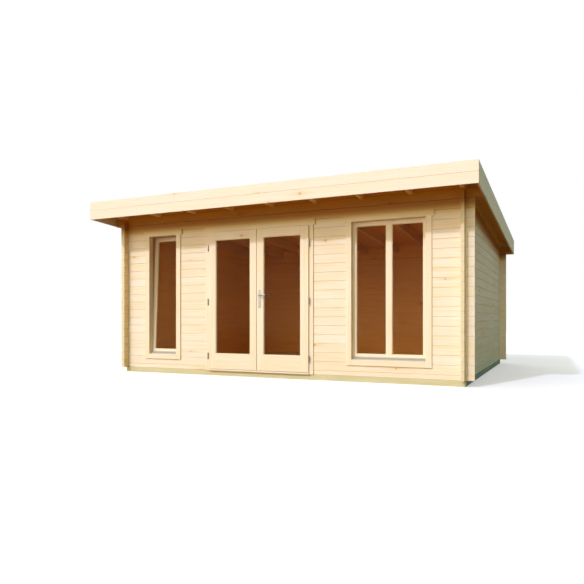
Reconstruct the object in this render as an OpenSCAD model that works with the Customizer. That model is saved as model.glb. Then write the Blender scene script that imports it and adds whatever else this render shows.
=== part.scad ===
// Log-built garden house with a pent roof, a glazed double door and two windows.
//
// The origin lies on the ground, under the middle of the roof. X runs to the right
// along the front, Y runs from the front to the back and Z points up.
// All sizes are in millimetres and degrees.

/* [House] */
// Width over the outer faces of the side walls
house_w = 4910; // [4600:10:6000]
// Depth over the outer faces of the front and back walls
house_d = 4250; // [3000:10:5400]
// Length of the crossed log ends past each corner
log_end = 100; // [60:5:160]

/* [Logs] */
// Thickness of a wall log
log_t = 40; // [32:1:56]
// Height of one course of logs
course = 114; // [108:1:124]
// Bevel on the long edges of a log, two of which make the groove at a joint
log_bevel = 4.5; // [2:0.5:7]

/* [Base and floor] */
// Height of the foundation beams and of the floor joists
beam_h = 70; // [45:5:100]
// Width of a foundation beam
beam_w = 60; // [56:2:90]
// Width of a floor joist
joist_w = 45; // [30:1:60]
// Number of floor joists between the front and back beams
joist_count = 7; // [4:1:10]
// Thickness of the floor boards
floor_t = 19; // [16:1:28]
// Gap between the floor boards and the walls
floor_gap = 5; // [3:1:12]

/* [Roof] */
// Fall of the roof towards the back
roof_pitch = 2.9; // [2:0.1:3.2]
// How deep the rafters sit in the front wall's top log
rafter_notch = 23; // [10:1:35]
// Gap between the top of a side wall and the rafter over it
rafter_gap = 0.5; // [0.3:0.1:3]
// Number of rafters
rafter_count = 9; // [6:1:11]
// Width of a rafter
rafter_w = 45; // [36:1:60]
// Height of a rafter
rafter_h = 145; // [110:5:180]
// Overhang of the roof boards past the front wall
eave_front = 528; // [200:1:700]
// Overhang of the roof boards past the back wall
eave_back = 264; // [150:1:400]
// Overhang of the roof boards past the side walls
eave_side = 190; // [140:1:320]
// Thickness of the roof boards
deck_t = 19; // [16:1:28]
// Thickness of the roofing felt
felt_t = 4; // [2:0.5:6]

/* [Fascia] */
// Thickness of a fascia board
fascia_t = 20; // [16:1:28]
// Height of the upper fascia board
fascia_upper = 120; // [90:1:160]
// Height of the lower fascia board
fascia_lower = 129; // [90:1:160]
// Open joint between the two fascia boards
fascia_joint = 2; // [1:0.5:5]
// Height of the fascia's top edge above the felt
fascia_lip = 3; // [0:1:12]

/* [Door] */
// Sideways place of the middle of the door
door_x = -232; // [-320:4:-120]
// Width of one door leaf
leaf_w = 746; // [700:1:780]
// Thickness of a door leaf
leaf_t = 40; // [36:1:46]
// How far a leaf stands out of the upright casings beside it
leaf_proud = 18; // [0:1:18]
// Height of the threshold
threshold_t = 20; // [16:1:24]
// Running gap round a leaf
leaf_gap = 5; // [4:0.5:8]
// Gap between the two leaves
meeting_gap = 7; // [7:0.5:12]
// Width of the stile on a leaf's hinge side
hinge_stile = 109; // [90:1:130]
// Width of the stile on a leaf's meeting side
meeting_stile = 94; // [85:1:125]
// Height of a leaf's top rail
leaf_top_rail = 110; // [80:1:140]
// Height of a leaf's bottom rail
leaf_bottom_rail = 207; // [150:1:260]
// How far the frame's stop reaches behind a leaf
door_stop = 12; // [8:1:20]
// Depth of the door frame behind the wall's outer face
door_frame_d = 75; // [65:1:110]

/* [Windows] */
// Sideways place of the middle of the narrow window
narrow_x = -1782; // [-1850:4:-1702]
// Clear width of the narrow window's frame
narrow_w = 474; // [400:2:500]
// Sideways place of the middle of the wide window
wide_x = 1545; // [1520:1:1600]
// Clear width of the wide window's frame
wide_w = 914; // [700:2:940]
// Thickness of the frame timbers of the door and the windows
frame_t = 37; // [30:1:42]
// Depth of a window frame behind the wall's outer face
window_frame_d = 90; // [85:1:120]
// Depth from the wall's outer face to the face of a sash
sash_y = 60; // [48:1:66]
// Thickness of a sash
sash_t = 38; // [32:1:46]
// Overlap of a sash behind its frame
sash_lap = 12; // [8:1:18]
// Running gap round a sash in its frame
sash_gap = 2; // [2:0.5:4]
// Part of a sash stile that shows inside the frame
sash_stile = 37; // [34:1:60]
// Part of a sash top rail that shows inside the frame
sash_top_rail = 48; // [40:1:70]
// Part of a sash bottom rail that shows inside the frame
sash_bottom_rail = 64; // [58:1:90]
// Width of the wide sash's middle post
sash_post = 65; // [50:1:95]
// Lean of the narrow sash, which is set in its airing position
narrow_tilt = 2.8; // [0:0.1:2.9]
// Space left over the frames for the logs to settle
settle_gap = 32; // [15:1:45]
// Height of a drip rail
drip_h = 38; // [30:1:50]
// How far a drip rail stands out of its sash
drip_out = 34; // [24:1:42]
// Height of a drip rail's outer edge
drip_nose = 10; // [6:1:14]
// Width of the upper edge of the rain rails
drip_head = 7; // [5:0.5:10]
// Gap between the rain rails and the sashes
drip_gap = 1; // [0.5:0.5:2]

/* [Glass] */
// Thickness of a pane
pane_t = 4; // [3:1:6]
// Depth of the groove that holds a pane
pane_groove = 9; // [6:1:12]
// Width of the glazing beads round a pane
bead_w = 9; // [6:1:14]
// How far the beads stay back from the face of the timber round them
bead_inset = 3; // [2:0.5:5]
// Depth and width of the step on the front of a bead
bead_step = 4; // [2:0.5:5]
// Width of the joint where two beads meet
mitre_gap = 0.3; // [0.2:0.1:1]

/* [Casings] */
// Thickness of the upright and sill casings
casing_t = 17; // [14:1:20]
// Thickness of the head casings
casing_head_t = 20; // [18:1:26]
// Width of the window casings
casing_w = 73; // [55:1:90]
// Width of the upright door casings
door_casing_w = 54; // [50:1:80]
// Height of the head casings
casing_head_h = 82; // [72:1:100]
// How far a head casing runs past the upright casings
casing_ear = 25; // [0:1:35]
// Thickness of the casings inside the room
inner_casing_t = 16; // [12:1:20]

/* [Window fittings] */
// Width of the rose under a sash handle
rose_w = 28; // [24:1:34]
// Height of the rose under a sash handle
rose_h = 66; // [50:1:80]
// Thickness of the rose under a sash handle
rose_t = 6; // [4:0.5:10]
// Radius of a sash handle
handle_r = 7; // [5:0.5:9]
// Distance from the rose to the middle of a sash handle
handle_reach = 32; // [26:1:45]
// Length of a sash handle
handle_l = 110; // [90:1:130]
// Radius of the barrel hinges under a sash
sash_hinge_r = 6; // [4:0.5:8]
// Length of the barrel hinges under a sash
sash_hinge_l = 60; // [40:1:80]
// Width of the narrow sash's stay
stay_w = 14; // [10:1:20]
// Thickness of the narrow sash's stay
stay_t = 3; // [2:0.5:4]

/* [Hinges] */
// Radius of a hinge knuckle
knuckle_r = 8; // [6:0.5:10]
// Height of a hinge
hinge_h = 85; // [60:1:110]
// Radius of a hinge pin
hinge_pin_r = 4; // [3:0.5:5]
// Thickness of a hinge strap
strap_t = 2; // [1.5:0.25:2.5]
// Height of the lowest hinge above the bottom of a leaf
hinge_low = 133; // [90:1:200]
// Distance between one hinge and the next
hinge_step = 751; // [600:1:780]

/* [Lock] */
// Distance from a leaf's edge to the middle of the lock
lock_setback = 44; // [40:1:60]
// Height of the lever above the bottom of a leaf
lever_z = 1007; // [900:1:1100]
// Height of a lock plate's top above the lever
plate_over = 74; // [50:1:100]
// Width of a lock plate
plate_w = 40; // [30:1:44]
// Height of a lock plate
plate_h = 247; // [200:1:270]
// Thickness of a lock plate
plate_t = 4; // [3:0.5:6]
// Length of the lever
lever_l = 108; // [100:1:145]
// Radius of the lever
lever_r = 8; // [6:0.5:10]
// Distance from a lock plate to the middle of the lever
lever_reach = 42; // [35:1:55]
// Length of the lever's end that turns back towards the leaf
lever_return = 16; // [10:1:20]
// Radius of the spindle between the two levers
spindle_r = 4.5; // [3.5:0.5:5.5]
// Length of the face plate of the lock and of the strike plate opposite it
face_plate_l = 220; // [180:5:240]
// Width of the plates let into the leaves' meeting edges
edge_plate_w = 18; // [14:1:24]
// Thickness of the plates let into the leaves' meeting edges
edge_plate_t = 3; // [2:0.5:4]
// Length of the bolts let into the left leaf's meeting edge
bolt_l = 200; // [150:5:260]
// Distance from the ends of the left leaf to its bolts
bolt_end = 16; // [10:1:40]
// Distance from the lever down to the middle of the key cylinder's barrel
key_drop = 92; // [72:1:100]
// Radius of the key cylinder's barrel
barrel_r = 8.5; // [8:0.25:9]
// How far the key cylinder stands out of a lock plate
barrel_out = 3; // [1:0.5:5]

/* [Hidden] */
$fn = 48;

pine = [0.93, 0.82, 0.62];
pine_trim = [0.95, 0.85, 0.67];
treated = [0.66, 0.66, 0.48];
felt_grey = [0.22, 0.22, 0.23];
pale_glass = [0.62, 0.74, 0.78, 0.45];
zinc = [0.66, 0.66, 0.64];

// Walls: the front and back walls start with half a log, the side walls with a whole one
front_courses = 18;
back_courses = 16;
half_w = house_w / 2;
front_y = -(house_d + eave_back - eave_front) / 2;
back_y = front_y + house_d;

// Height of the top of log k in the front and back walls; k = 0 is the half log
function log_top(k) = beam_h + course * (k + 0.5);
function log_bottom(k) = k == 0 ? beam_h : log_top(k - 1);
// Edges of the logs from log a to log b
function log_edges(a, b) = concat([log_bottom(a)], [for (k = [a:b]) log_top(k)]);

// Cross-section of stacked logs, standing on the first of the heights in z
function stack_profile(z) = concat(
    [[log_bevel, z[0]]],
    [for (i = [0:len(z) - 2]) each [
        [0, z[i] + log_bevel], [0, z[i + 1] - log_bevel], [log_bevel, z[i + 1]]]],
    [[log_t - log_bevel, z[len(z) - 1]]],
    [for (i = [len(z) - 2:-1:0]) each [
        [log_t, z[i + 1] - log_bevel], [log_t, z[i] + log_bevel], [log_t - log_bevel, z[i]]]]
);

// Roof: heights are of the rafters' undersides over a given y
rafter_front_z = log_top(front_courses + 1) - rafter_notch;
function under_rafter(y) = rafter_front_z - (y - front_y) * tan(roof_pitch);
deck_front_y = front_y - eave_front;
deck_back_y = back_y + eave_back;
deck_half_w = half_w + eave_side;
rafter_x = [for (i = [0:rafter_count - 1])
    -(half_w - log_t / 2) + i * (house_w - log_t) / (rafter_count - 1)];
fascia_top_rise = rafter_h + deck_t + felt_t + fascia_lip;
fascia_h = fascia_upper + fascia_joint + fascia_lower;

// Openings in the front wall
opening_bottom = log_top(1);
opening_top = log_top(front_courses - 1);
clear_bottom = opening_bottom + frame_t;
clear_top = opening_top - settle_gap - frame_t;

// Sashes: heights over a sash's lower edge
sash_h = clear_top - clear_bottom + 2 * sash_lap;
sash_glass_low = sash_lap + sash_bottom_rail;
sash_glass_high = sash_h - sash_lap - sash_top_rail;

// Door
door_half = leaf_w + meeting_gap / 2;
door_clear_half = door_half + leaf_gap;
door_opening_half = door_clear_half + frame_t;
leaf_front_y = front_y - casing_t - leaf_proud;
leaf_back_y = leaf_front_y + leaf_t;
stop_y = leaf_back_y + leaf_gap;
leaf_bottom = beam_h + threshold_t + leaf_gap;
leaf_top = clear_top - leaf_gap;
leaf_glass_bottom = leaf_bottom + leaf_bottom_rail;
leaf_glass_top = leaf_top - leaf_top_rail;
leaf_pane_y = leaf_front_y + (leaf_t - pane_t) / 2;

// Hinges: the axis stands in front of the leaf, over the running gap
// A pin stops short of its knuckle's top by pin_cover and the gap between the knuckles
knuckle_gap = 1;
pin_clearance = 0.1;
pin_cover = 3;
knuckle_h = (hinge_h - knuckle_gap) / 2;
hinge_out = knuckle_r;
hinge_y = leaf_front_y - knuckle_r - knuckle_gap;
hinge_z = [for (i = [0:2]) leaf_bottom + hinge_low + i * hinge_step];

// Plates in the meeting edges: the lock's face plate, its strike plate and two bolts
face_plate_z = leaf_bottom + lever_z - key_drop / 2 - face_plate_l / 2;
bolt_z = [leaf_bottom + bolt_end, leaf_top - bolt_end - bolt_l];

// Lock, on the right leaf
lock_x = door_x + meeting_gap / 2 + lock_setback;
lock_z = leaf_bottom + lever_z;
bore_clearance = 0.5;
plate_clearance = 0.3;
neck_gap = 3;

// ---------------------------------------------------------------- helpers

// Stacked logs from log a to log b, from x1 to x2, with their outer face at y
module logs_along_x(x1, x2, a, b, y) {
    translate([x1, y, 0]) rotate([90, 0, 90])
        linear_extrude(x2 - x1) polygon(stack_profile(log_edges(a, b)));
}

// Half-height tongues of logs a to b where a front or back wall crosses a side wall
module tongues(x, a, b, y) {
    for (k = [a:b]) {
        low = max(beam_h, beam_h + course * (k - 0.25));
        high = beam_h + course * (k + 0.25);
        translate([x, y, low]) cube([log_t, log_t, high - low]);
    }
}

// Logs a to b of a wall end: the wall from x, its tongues and the crossed log ends.
// side is -1 for the left corner and 1 for the right one.
module corner_logs(x, side, a, b, y) {
    inner = side * (half_w - log_t);
    outer = side * half_w;
    logs_along_x(min(x, inner), max(x, inner), a, b, y);
    tongues(min(inner, outer), a, b, y);
    logs_along_x(min(outer, outer + side * log_end), max(outer, outer + side * log_end), a, b, y);
}

// A board in the YZ plane from x1 to x2, whose lower edge lies rise over the rafters'
// undersides and whose plumb height is h
module sloped_slab(x1, x2, y1, y2, rise, h) {
    translate([x1, 0, 0]) rotate([90, 0, 90]) linear_extrude(x2 - x1) polygon([
        [y1, under_rafter(y1) + rise], [y2, under_rafter(y2) + rise],
        [y2, under_rafter(y2) + rise + h], [y1, under_rafter(y1) + rise + h]]);
}

module box(x1, x2, y1, y2, z1, z2) {
    translate([x1, y1, z1]) cube([x2 - x1, y2 - y1, z2 - z1]);
}

// Stepped glazing beads round the opening x1..x2, z1..z2 of a timber t thick, four on each
// face of the pane in its middle; the timber's outer face is at y = 0. The beads meet in
// fine mitre joints.
module glazing_pair(x1, x2, z1, z2, t) {
    for (face = [[(t - pane_t) / 2, bead_inset], [(t + pane_t) / 2, t - bead_inset]]) {
        out = face[1] > face[0] ? -bead_step : bead_step;
        difference() {
            box(x1, x2, min(face), max(face), z1, z2);
            box(x1 + bead_w, x2 - bead_w, -1, t + 1, z1 + bead_w, z2 - bead_w);
            box(x1 + bead_w - bead_step, x2 - bead_w + bead_step,
                min(face[1], face[1] + out), max(face[1], face[1] + out),
                z1 + bead_w - bead_step, z2 - bead_w + bead_step);
            for (corner = [[x1, z1, -45], [x1, z2, 45], [x2, z1, 45], [x2, z2, -45]])
                translate([corner[0], 0, corner[1]]) rotate([0, corner[2], 0])
                    box(-2 * bead_w, 2 * bead_w, -1, t + 1, -mitre_gap / 2, mitre_gap / 2);
        }
    }
}

// ---------------------------------------------------------------- base and floor

module long_beams() {
    color(treated) {
        box(-half_w, half_w, front_y, front_y + beam_w, 0, beam_h);
        box(-half_w, half_w, back_y - beam_w, back_y, 0, beam_h);
    }
}

module side_beams() {
    color(treated) for (side = [-1, 1])
        translate([side * (half_w - beam_w / 2), 0, 0])
            box(-beam_w / 2, beam_w / 2, front_y + beam_w, back_y - beam_w, 0, beam_h);
}

module floor_joists() {
    span = house_d - 2 * beam_w;
    color(treated) for (i = [1:joist_count])
        translate([0, front_y + beam_w + i * span / (joist_count + 1), 0])
            box(-half_w + beam_w, half_w - beam_w, -joist_w / 2, joist_w / 2, 0, beam_h);
}

module floor_boards() {
    edge = log_t + floor_gap;
    color(pine) difference() {
        box(-half_w + edge, half_w - edge, front_y + edge, back_y - edge, beam_h, beam_h + floor_t);
        box(door_x - door_opening_half - floor_gap, door_x + door_opening_half + floor_gap,
            front_y, front_y + door_frame_d + floor_gap, beam_h - 1, beam_h + floor_t + 1);
    }
}

// ---------------------------------------------------------------- front wall

module front_base_left() {
    color(pine) corner_logs(door_x - door_opening_half, -1, 0, 1, front_y);
}

module front_base_right() {
    color(pine) corner_logs(door_x + door_opening_half, 1, 0, 1, front_y);
}

module front_corner_left() {
    color(pine) corner_logs(narrow_x - narrow_w / 2 - frame_t, -1, 2, front_courses - 1, front_y);
}

module front_corner_right() {
    color(pine) corner_logs(wide_x + wide_w / 2 + frame_t, 1, 2, front_courses - 1, front_y);
}

module front_pier_left() {
    color(pine) logs_along_x(narrow_x + narrow_w / 2 + frame_t, door_x - door_opening_half,
        2, front_courses - 1, front_y);
}

module front_pier_right() {
    color(pine) logs_along_x(door_x + door_opening_half, wide_x - wide_w / 2 - frame_t,
        2, front_courses - 1, front_y);
}

module front_lintel_log() {
    color(pine) {
        corner_logs(0, -1, front_courses, front_courses, front_y);
        corner_logs(0, 1, front_courses, front_courses, front_y);
    }
}

// The top log runs out to the side fascias; the rafters are let into it
module top_log(k, y) {
    color(pine) difference() {
        logs_along_x(-deck_half_w, deck_half_w, k, k, y);
        for (side = [-1, 1]) {
            x = side * (half_w - log_t / 2);
            box(x - log_t / 2, x + log_t / 2, y - 1, y + log_t + 1,
                log_bottom(k) - 1, beam_h + course * (k - 0.25));
        }
        rafter_set();
    }
}

module front_top_log() {
    top_log(front_courses + 1, front_y);
}

// ---------------------------------------------------------------- side and back walls

module side_wall(side) {
    top_k = front_courses + 2;
    edges = [for (k = [0:top_k]) beam_h + course * k];
    color(pine) translate([side * (half_w - log_t / 2), 0, 0]) intersection() {
        union() {
            for (run = [[front_y - log_end, front_y], [front_y + log_t, back_y - log_t],
                        [back_y, back_y + log_end]])
                translate([-log_t / 2, run[1], 0]) rotate([90, 0, 0])
                    linear_extrude(run[1] - run[0]) polygon(stack_profile(edges));
            for (corner = [[front_y, front_courses], [back_y - log_t, back_courses]])
                for (k = [0:corner[1]])
                    translate([-log_t / 2, corner[0], beam_h + course * (k + 0.25)])
                        cube([log_t, log_t, course / 2]);
        }
        translate([-log_t, 0, 0]) rotate([90, 0, 90]) linear_extrude(2 * log_t) polygon([
            [front_y - log_end, 0], [back_y + log_end, 0],
            [back_y + log_end, under_rafter(back_y + log_end) - rafter_gap],
            [front_y - log_end, under_rafter(front_y - log_end) - rafter_gap]]);
    }
}

module left_wall() {
    side_wall(-1);
}

module right_wall() {
    side_wall(1);
}

module back_wall() {
    color(pine) {
        corner_logs(0, -1, 0, back_courses, back_y - log_t);
        corner_logs(0, 1, 0, back_courses, back_y - log_t);
    }
}

module back_top_log() {
    top_log(back_courses + 1, back_y - log_t);
}

// Short logs that close the wall between the rafters, up to the roof boards
module eaves_blocks() {
    color(pine) for (wall = [[front_y, front_courses + 1], [back_y - log_t, back_courses + 1]])
        for (i = [0:rafter_count - 2])
            intersection() {
                logs_along_x(rafter_x[i] + rafter_w / 2, rafter_x[i + 1] - rafter_w / 2,
                    wall[1] + 1, wall[1] + 2, wall[0]);
                sloped_slab(-half_w, half_w, wall[0], wall[0] + log_t, 0, rafter_h);
            }
}

// ---------------------------------------------------------------- roof

module rafter_set() {
    for (x = rafter_x)
        sloped_slab(x - rafter_w / 2, x + rafter_w / 2, deck_front_y, deck_back_y, 0, rafter_h);
}

module rafters() {
    color(pine) rafter_set();
}

module roof_boards() {
    color(pine) sloped_slab(-deck_half_w, deck_half_w, deck_front_y, deck_back_y, rafter_h, deck_t);
}

module roof_felt() {
    color(felt_grey) sloped_slab(-deck_half_w, deck_half_w, deck_front_y, deck_back_y,
        rafter_h + deck_t, felt_t);
}

module end_fascia(y, edge_y) {
    top = under_rafter(edge_y) + fascia_top_rise;
    color(pine_trim) {
        box(-deck_half_w - fascia_t, deck_half_w + fascia_t, y, y + fascia_t,
            top - fascia_upper, top);
        box(-deck_half_w - fascia_t, deck_half_w + fascia_t, y, y + fascia_t,
            top - fascia_h, top - fascia_h + fascia_lower);
    }
}

module front_fascia() {
    end_fascia(deck_front_y - fascia_t, deck_front_y);
}

module back_fascia() {
    end_fascia(deck_back_y, deck_back_y);
}

module side_fascia(x) {
    color(pine_trim) {
        sloped_slab(x, x + fascia_t, deck_front_y, deck_back_y,
            fascia_top_rise - fascia_upper, fascia_upper);
        sloped_slab(x, x + fascia_t, deck_front_y, deck_back_y,
            fascia_top_rise - fascia_h, fascia_lower);
    }
}

module left_fascia() {
    side_fascia(-deck_half_w - fascia_t);
}

module right_fascia() {
    side_fascia(deck_half_w);
}

// ---------------------------------------------------------------- door frame and casings

module door_jambs() {
    color(pine_trim) for (side = [-1, 1]) translate([door_x, 0, beam_h + threshold_t])
        scale([side, 1, 1]) linear_extrude(clear_top - beam_h - threshold_t) polygon([
            [door_clear_half, front_y], [door_opening_half, front_y],
            [door_opening_half, front_y + door_frame_d],
            [door_half - door_stop, front_y + door_frame_d],
            [door_half - door_stop, stop_y], [door_clear_half, stop_y]]);
}

module door_head() {
    color(pine_trim) translate([door_x, 0, 0]) {
        box(-door_opening_half, door_opening_half, front_y, front_y + door_frame_d,
            clear_top, clear_top + frame_t);
        box(-door_half + door_stop, door_half - door_stop, stop_y, front_y + door_frame_d,
            leaf_top - door_stop, clear_top);
    }
}

module door_threshold() {
    color(pine_trim) translate([door_x, 0, 0]) {
        box(-door_clear_half, door_clear_half, leaf_front_y, front_y, beam_h,
            beam_h + threshold_t);
        box(-door_opening_half, door_opening_half, front_y, front_y + door_frame_d, beam_h,
            beam_h + threshold_t);
        box(-door_half + door_stop, door_half - door_stop, stop_y, front_y + door_frame_d,
            beam_h + threshold_t, leaf_bottom + door_stop);
    }
}

// Upright casings: a pair beside an opening whose clear width is 2 * clear
module casing_pair(x, clear, w, y, t, z1, z2) {
    for (side = [-1, 1])
        translate([x + side * (clear + w / 2), 0, 0]) box(-w / 2, w / 2, y, y + t, z1, z2);
}

module casing_sides() {
    color(pine_trim) {
        casing_pair(door_x, door_clear_half, door_casing_w, front_y - casing_t, casing_t,
            beam_h, clear_top);
        for (w = [[narrow_x, narrow_w], [wide_x, wide_w]])
            casing_pair(w[0], w[1] / 2, casing_w, front_y - casing_t, casing_t,
                clear_bottom - casing_w, clear_top);
    }
}

module casing_heads() {
    color(pine_trim)
        for (c = [[door_x, door_clear_half + door_casing_w], [narrow_x, narrow_w / 2 + casing_w],
                  [wide_x, wide_w / 2 + casing_w]])
            translate([c[0], 0, 0]) box(-c[1] - casing_ear, c[1] + casing_ear,
                front_y - casing_head_t, front_y, clear_top, clear_top + casing_head_h);
}

module casing_sills() {
    color(pine_trim) for (w = [[narrow_x, narrow_w], [wide_x, wide_w]])
        translate([w[0], 0, 0]) box(-w[1] / 2, w[1] / 2, front_y - casing_t, front_y,
            clear_bottom - casing_w, clear_bottom);
}

module inner_casing_sides() {
    y = front_y + log_t;
    color(pine_trim) {
        casing_pair(door_x, door_opening_half, casing_w - frame_t, y, inner_casing_t,
            beam_h + floor_t, opening_top);
        for (w = [[narrow_x, narrow_w], [wide_x, wide_w]])
            casing_pair(w[0], w[1] / 2 + frame_t, casing_w - frame_t, y, inner_casing_t,
                opening_bottom, opening_top);
    }
}

module inner_casing_rails() {
    y = front_y + log_t;
    color(pine_trim) {
        for (c = [[door_x, door_opening_half], [narrow_x, narrow_w / 2 + frame_t],
                  [wide_x, wide_w / 2 + frame_t]])
            translate([c[0], 0, 0]) box(-c[1] - casing_w + frame_t, c[1] + casing_w - frame_t,
                y, y + inner_casing_t, opening_top, opening_top + casing_head_h);
        for (w = [[narrow_x, narrow_w], [wide_x, wide_w]])
            translate([w[0], 0, 0]) box(-w[1] / 2 - casing_w, w[1] / 2 + casing_w,
                y, y + inner_casing_t, opening_bottom - casing_w, opening_bottom);
    }
}

// ---------------------------------------------------------------- windows

// Room for a sash in the back of its frame
module sash_pocket(w) {
    room = sash_lap + sash_gap;
    box(-w / 2 - room, w / 2 + room, front_y + sash_y, front_y + window_frame_d + 1,
        clear_bottom - room, clear_top + room);
}

module window_jambs() {
    color(pine_trim) for (win = [[narrow_x, narrow_w], [wide_x, wide_w]])
        translate([win[0], 0, 0]) difference() {
            for (side = [-1, 1]) translate([side * (win[1] + frame_t) / 2, 0, 0])
                box(-frame_t / 2, frame_t / 2, front_y, front_y + window_frame_d,
                    clear_bottom, clear_top);
            sash_pocket(win[1]);
        }
}

module window_frame_rails() {
    color(pine_trim) for (win = [[narrow_x, narrow_w], [wide_x, wide_w]])
        translate([win[0], 0, 0]) difference() {
            for (z = [clear_bottom - frame_t, clear_top])
                box(-win[1] / 2 - frame_t, win[1] / 2 + frame_t, front_y,
                    front_y + window_frame_d, z, z + frame_t);
            sash_pocket(win[1]);
        }
}

// Left and right edges of each pane's opening in a sash with posts at the given places
function pane_edges(w, posts) = concat([-w / 2 + sash_stile],
    [for (x = posts) each [x - sash_post / 2, x + sash_post / 2]], [w / 2 - sash_stile]);

// A sash standing on its lower edge at the origin, with its outer face at y = 0.
// posts lists the places of the posts between its panes.
module sash(w, posts) {
    edges = pane_edges(w, posts);
    difference() {
        box(-w / 2 - sash_lap, w / 2 + sash_lap, 0, sash_t, 0, sash_h);
        for (i = [0:2:len(edges) - 2])
            box(edges[i], edges[i + 1], -1, sash_t + 1, sash_glass_low, sash_glass_high);
        sash_panes(w, posts);
    }
}

module sash_panes(w, posts) {
    edges = pane_edges(w, posts);
    for (i = [0:2:len(edges) - 2])
        box(edges[i] - pane_groove, edges[i + 1] + pane_groove,
            (sash_t - pane_t) / 2, (sash_t + pane_t) / 2,
            sash_glass_low - pane_groove, sash_glass_high + pane_groove);
}

module sash_beads(w, posts) {
    edges = pane_edges(w, posts);
    for (i = [0:2:len(edges) - 2])
        glazing_pair(edges[i], edges[i + 1], sash_glass_low, sash_glass_high, sash_t);
}

module at_narrow_sash() {
    translate([narrow_x, front_y + sash_y, clear_bottom - sash_lap])
        rotate([-narrow_tilt, 0, 0]) children();
}

module at_wide_sash() {
    translate([wide_x, front_y + sash_y, clear_bottom - sash_lap]) children();
}

module narrow_sash() {
    color(pine_trim) at_narrow_sash() sash(narrow_w, []);
}

module wide_sash() {
    color(pine_trim) at_wide_sash() sash(wide_w, [0]);
}

module window_panes() {
    color(pale_glass) {
        at_narrow_sash() sash_panes(narrow_w, []);
        at_wide_sash() sash_panes(wide_w, [0]);
    }
}

module window_beads() {
    color(pine_trim) {
        at_narrow_sash() sash_beads(narrow_w, []);
        at_wide_sash() sash_beads(wide_w, [0]);
    }
}

// A lever handle on the room side of a sash, on a stile whose middle is at the given x
module sash_handle(x) {
    translate([x, sash_t, sash_h / 2]) {
        rotate([-90, 0, 0]) {
            linear_extrude(rose_t) square([rose_w, rose_h], center = true);
            translate([0, 0, rose_t]) cylinder(r = handle_r, h = handle_reach);
            translate([0, 0, rose_t + handle_reach]) sphere(r = handle_r);
        }
        translate([0, rose_t + handle_reach, -handle_l]) {
            cylinder(r = handle_r, h = handle_l);
            sphere(r = handle_r);
        }
    }
}

// Two hinges on the back of a sash, near its foot
module sash_hinges(w) {
    for (side = [-1, 1]) translate([side * (w / 2 - 2 * sash_stile), sash_t, 0]) {
        box(-sash_hinge_l / 2, sash_hinge_l / 2, 0, strap_t, 0, sash_stile / 2);
        translate([0, sash_hinge_r + strap_t / 4, sash_hinge_r + 1]) rotate([0, 90, 0])
            cylinder(r = sash_hinge_r, h = sash_hinge_l, center = true);
    }
}

// The stay that holds the narrow sash in its airing position: it is screwed to the sash's
// upper edge and bears on the back of the frame's head
module sash_stay() {
    difference() {
        at_narrow_sash() box(-stay_w / 2, stay_w / 2, -sash_h * sin(narrow_tilt), sash_t,
            sash_h, sash_h + stay_t);
        box(narrow_x - stay_w, narrow_x + stay_w, front_y, front_y + window_frame_d,
            clear_top, clear_top + 2 * frame_t);
    }
}

module window_fittings() {
    color(zinc) {
        at_narrow_sash() {
            sash_handle((narrow_w - sash_stile) / 2 + sash_lap / 2);
            sash_hinges(narrow_w);
        }
        at_wide_sash() {
            sash_handle((wide_w - sash_stile) / 2 + sash_lap / 2);
            sash_hinges(wide_w);
        }
        sash_stay();
    }
}

// Aluminium rails that throw rain off the lower edge of a sash
module drip_rails() {
    back = -drip_gap;
    hollow = drip_nose / 2;
    color(zinc) for (win = [[narrow_x, narrow_w], [wide_x, wide_w]])
        translate([win[0] - win[1] / 2, front_y + sash_y, clear_bottom]) rotate([90, 0, 90])
            linear_extrude(win[1]) polygon([[-drip_out, 0], [back, 0], [back, drip_h],
                [back - drip_head, drip_h], [back - drip_head - hollow, drip_h - 2 * hollow],
                [-drip_out + hollow, drip_nose + hollow], [-drip_out, drip_nose]]);
}

// ---------------------------------------------------------------- door leaves

// Each leaf part is drawn for the right leaf, with its meeting edge at x = 0
module on_leaf(side) {
    translate([door_x + side * meeting_gap / 2, 0, 0]) scale([side, 1, 1]) children();
}

module leaf_pane_slot() {
    box(meeting_stile - pane_groove, leaf_w - hinge_stile + pane_groove,
        leaf_pane_y, leaf_pane_y + pane_t,
        leaf_glass_bottom - pane_groove, leaf_glass_top + pane_groove);
}

// A plate let into a leaf's meeting edge, and a shallow recess in its face
module edge_plate(z, l) {
    y = leaf_front_y + leaf_t / 2;
    box(0, edge_plate_t, y - edge_plate_w / 2, y + edge_plate_w / 2, z, z + l);
}

module edge_recess(z, l) {
    y = leaf_front_y + leaf_t / 2;
    box(-1, edge_plate_t / 2, y - edge_plate_w / 4, y + edge_plate_w / 4, z, z + l);
}

// The lock's face plate and its strike plate have recesses for the latch and the key bolt
module strike_plate() {
    difference() {
        edge_plate(face_plate_z, face_plate_l);
        edge_recess(lock_z - edge_plate_w, 2 * edge_plate_w);
        edge_recess(lock_z - key_drop - edge_plate_w, 2 * edge_plate_w);
    }
}

module leaf_stiles() {
    difference() {
        union() {
            box(0, meeting_stile, leaf_front_y, leaf_back_y, leaf_bottom, leaf_top);
            box(leaf_w - hinge_stile, leaf_w, leaf_front_y, leaf_back_y, leaf_bottom, leaf_top);
        }
        leaf_pane_slot();
    }
}

module leaf_rails() {
    difference() {
        union() {
            box(meeting_stile, leaf_w - hinge_stile, leaf_front_y, leaf_back_y,
                leaf_bottom, leaf_glass_bottom);
            box(meeting_stile, leaf_w - hinge_stile, leaf_front_y, leaf_back_y,
                leaf_glass_top, leaf_top);
        }
        leaf_pane_slot();
    }
}

module leaf_beads() {
    translate([0, leaf_front_y, 0]) glazing_pair(meeting_stile, leaf_w - hinge_stile,
        leaf_glass_bottom, leaf_glass_top, leaf_t);
}

module left_leaf_beads() {
    color(pine_trim) on_leaf(-1) leaf_beads();
}

module right_leaf_beads() {
    color(pine_trim) on_leaf(1) leaf_beads();
}

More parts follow.
